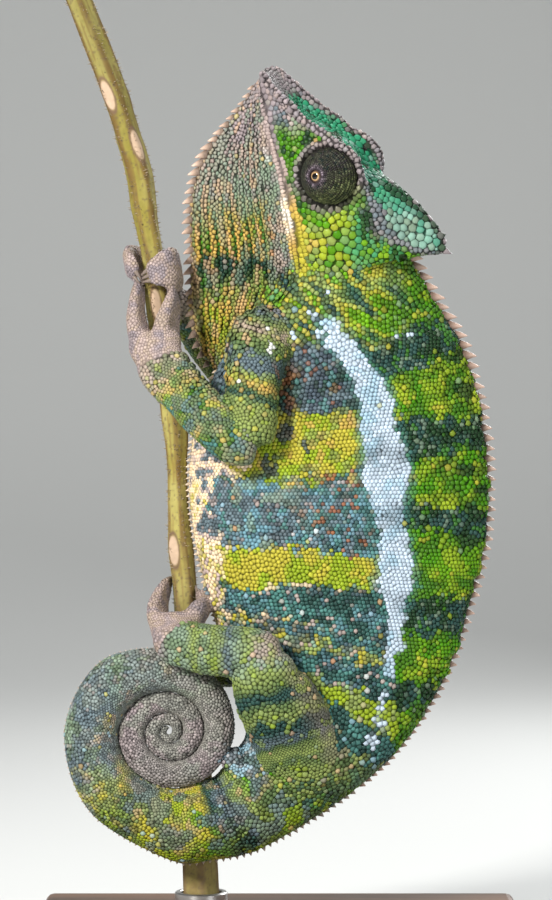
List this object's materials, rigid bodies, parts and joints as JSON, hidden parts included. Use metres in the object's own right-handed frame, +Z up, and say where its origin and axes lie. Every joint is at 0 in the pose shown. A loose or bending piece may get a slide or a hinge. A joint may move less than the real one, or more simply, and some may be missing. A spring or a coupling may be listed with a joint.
{
  "type": "panther chameleon on a display stand",
  "caption": "Adult male panther chameleon, a still life-size model gripping an upright stem with a coiled tail, on a flat display stand.",
  "frame": {"origin": "middle of the stand's underside, which is the middle of the bounding box's lowest face", "axes": "+Z is up, the way the animal climbs; its belly faces -X and its left side faces -Y"},
  "size_m": [0.12, 0.104, 0.2345],
  "materials": {
    "skin_head": "painted scaly skin, satin",
    "skin_body": "painted scaly skin, satin",
    "skin_tail": "painted scaly skin, satin",
    "skin_limb": "painted scaly skin, satin",
    "skin_hand": "painted scaly skin, satin",
    "eye": "ringed eye turret with a glossy eyeball",
    "stem": "green plant stem, ridged and downy",
    "stand_wood": "dark oiled wood",
    "stand_metal": "brushed steel"
  },
  "bodies": {
    "root": {"head": "skin_head", "lower_jaw": "skin_head", "throat_pouch": "skin_head", "eye_left": "eye", "eye_right": "eye", "neck": "skin_body", "trunk": "skin_body", "tail_base": "skin_tail", "tail_outer": "skin_tail", "tail_middle": "skin_tail", "tail_tip": "skin_tail", "arm_left_upper": "skin_limb", "arm_left_lower": "skin_limb", "hand_left": "skin_hand", "arm_right_upper": "skin_limb", "arm_right_lower": "skin_limb", "hand_right": "skin_hand", "leg_left_upper": "skin_limb", "leg_left_lower": "skin_limb", "foot_left": "skin_hand", "leg_right_upper": "skin_limb", "leg_right_lower": "skin_limb", "foot_right": "skin_hand", "perch_stem": "stem", "stand_base": "stand_wood", "stand_rod": "stand_metal"}
  },
  "joints": []
}
